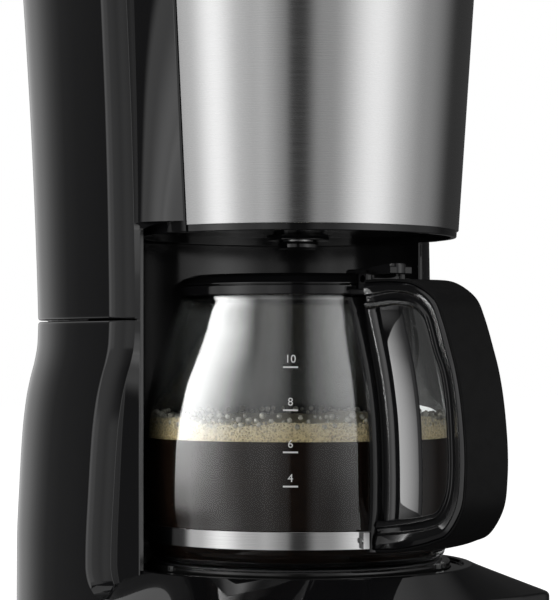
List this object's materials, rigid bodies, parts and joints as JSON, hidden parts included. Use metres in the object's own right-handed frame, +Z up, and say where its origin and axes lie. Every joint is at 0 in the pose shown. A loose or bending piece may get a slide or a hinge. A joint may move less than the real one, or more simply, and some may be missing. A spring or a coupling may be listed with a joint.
{
  "type": "drip coffee maker",
  "caption": "Drip coffee maker with a black wraparound housing, brushed steel filter sleeve, hotplate, hinged lid and a lidded glass jug with a loop handle.",
  "frame": {"origin": "centre of the footprint box, on the table under the rubber feet", "axes": "+X to the machine's right seen from the front, +Y to the back, +Z up; the jug's handle points to the front, along -Y"},
  "size_m": [0.186, 0.2694, 0.325],
  "materials": {
    "gloss_black": "high gloss",
    "matte_black": "fine matt",
    "tank_plastic": "satin",
    "brushed_steel": "brushed round",
    "plain_steel": "polished",
    "plate_coating": "non-stick coating",
    "rim_black": "satin gloss",
    "aluminium": "cast",
    "silicone": "soft",
    "rubber": "matt",
    "glass": "clear",
    "gauge_clear": "clear",
    "valve_white": "satin",
    "bakelite": "satin",
    "lamp_amber": "clear gloss"
  },
  "bodies": {
    "machine": {"upper_housing": "gloss_black", "lower_housing": "gloss_black", "base_housing": "gloss_black", "bay_lining": "gloss_black", "filter_housing": "gloss_black", "rear_cap": "gloss_black", "switch_bezel": "gloss_black", "bottom_plate": "matte_black", "filter_basket": "matte_black", "spray_head": "matte_black", "valve_guide": "matte_black", "cord_inlet": "matte_black", "water_tank": "tank_plastic", "steel_sleeve": "brushed_steel", "bottom_screws": "plain_steel", "element_clamp": "plain_steel", "lid_pin": "plain_steel", "switch_pin": "plain_steel", "rim_clips": "plain_steel", "valve_spring": "plain_steel", "hotplate": "plate_coating", "hotplate_rim": "rim_black", "heating_element": "aluminium", "inlet_hose": "silicone", "riser_pipe": "silicone", "basket_seal": "silicone", "rubber_feet": "rubber", "gauge_window": "gauge_clear", "tank_valve": "valve_white", "terminal_block": "valve_white", "thermal_fuses": "valve_white", "thermostat": "bakelite", "pilot_lamp": "lamp_amber"},
    "top_lid": {"lid": "gloss_black", "lid_gasket": "silicone"},
    "drip_stop": {"drip_valve": "matte_black"},
    "switch": {"switch_rocker": "gloss_black"},
    "carafe": {"glass_jug": "glass", "jug_band": "brushed_steel", "band_clasp": "plain_steel", "clasp_screw": "plain_steel", "jug_collar": "gloss_black", "handle": "gloss_black", "jug_lid_pin": "plain_steel"},
    "carafe_lid": {"jug_lid": "gloss_black", "thumb_tab": "gloss_black"}
  },
  "joints": [
    {"name": "carafe_slide", "type": "slide", "parent": "machine", "child": "carafe", "axis": [0, -1, 0], "range_m": [0, 0.18]},
    {"name": "carafe_lid_hinge", "type": "hinge", "parent": "carafe", "child": "carafe_lid", "pos_m": [0, -0.06519, 0.1686], "axis": [1, 0, 0], "range_deg": [0, 8]},
    {"name": "top_lid_hinge", "type": "hinge", "parent": "machine", "child": "top_lid", "pos_m": [0, 0.11756, 0.319], "axis": [-1, 0, 0], "range_deg": [0, 85]},
    {"name": "drip_stop_slide", "type": "slide", "parent": "machine", "child": "drip_stop", "axis": [0, 0, 1], "range_m": [0, 0.003], "stiffness_N_per_m": 300, "springref_m": -0.003, "deforming": ["valve_spring"]},
    {"name": "switch_hinge", "type": "hinge", "parent": "machine", "child": "switch", "pos_m": [0, -0.08669, 0.015], "axis": [-1, 0, 0], "range_deg": [0, 14]}
  ]
}
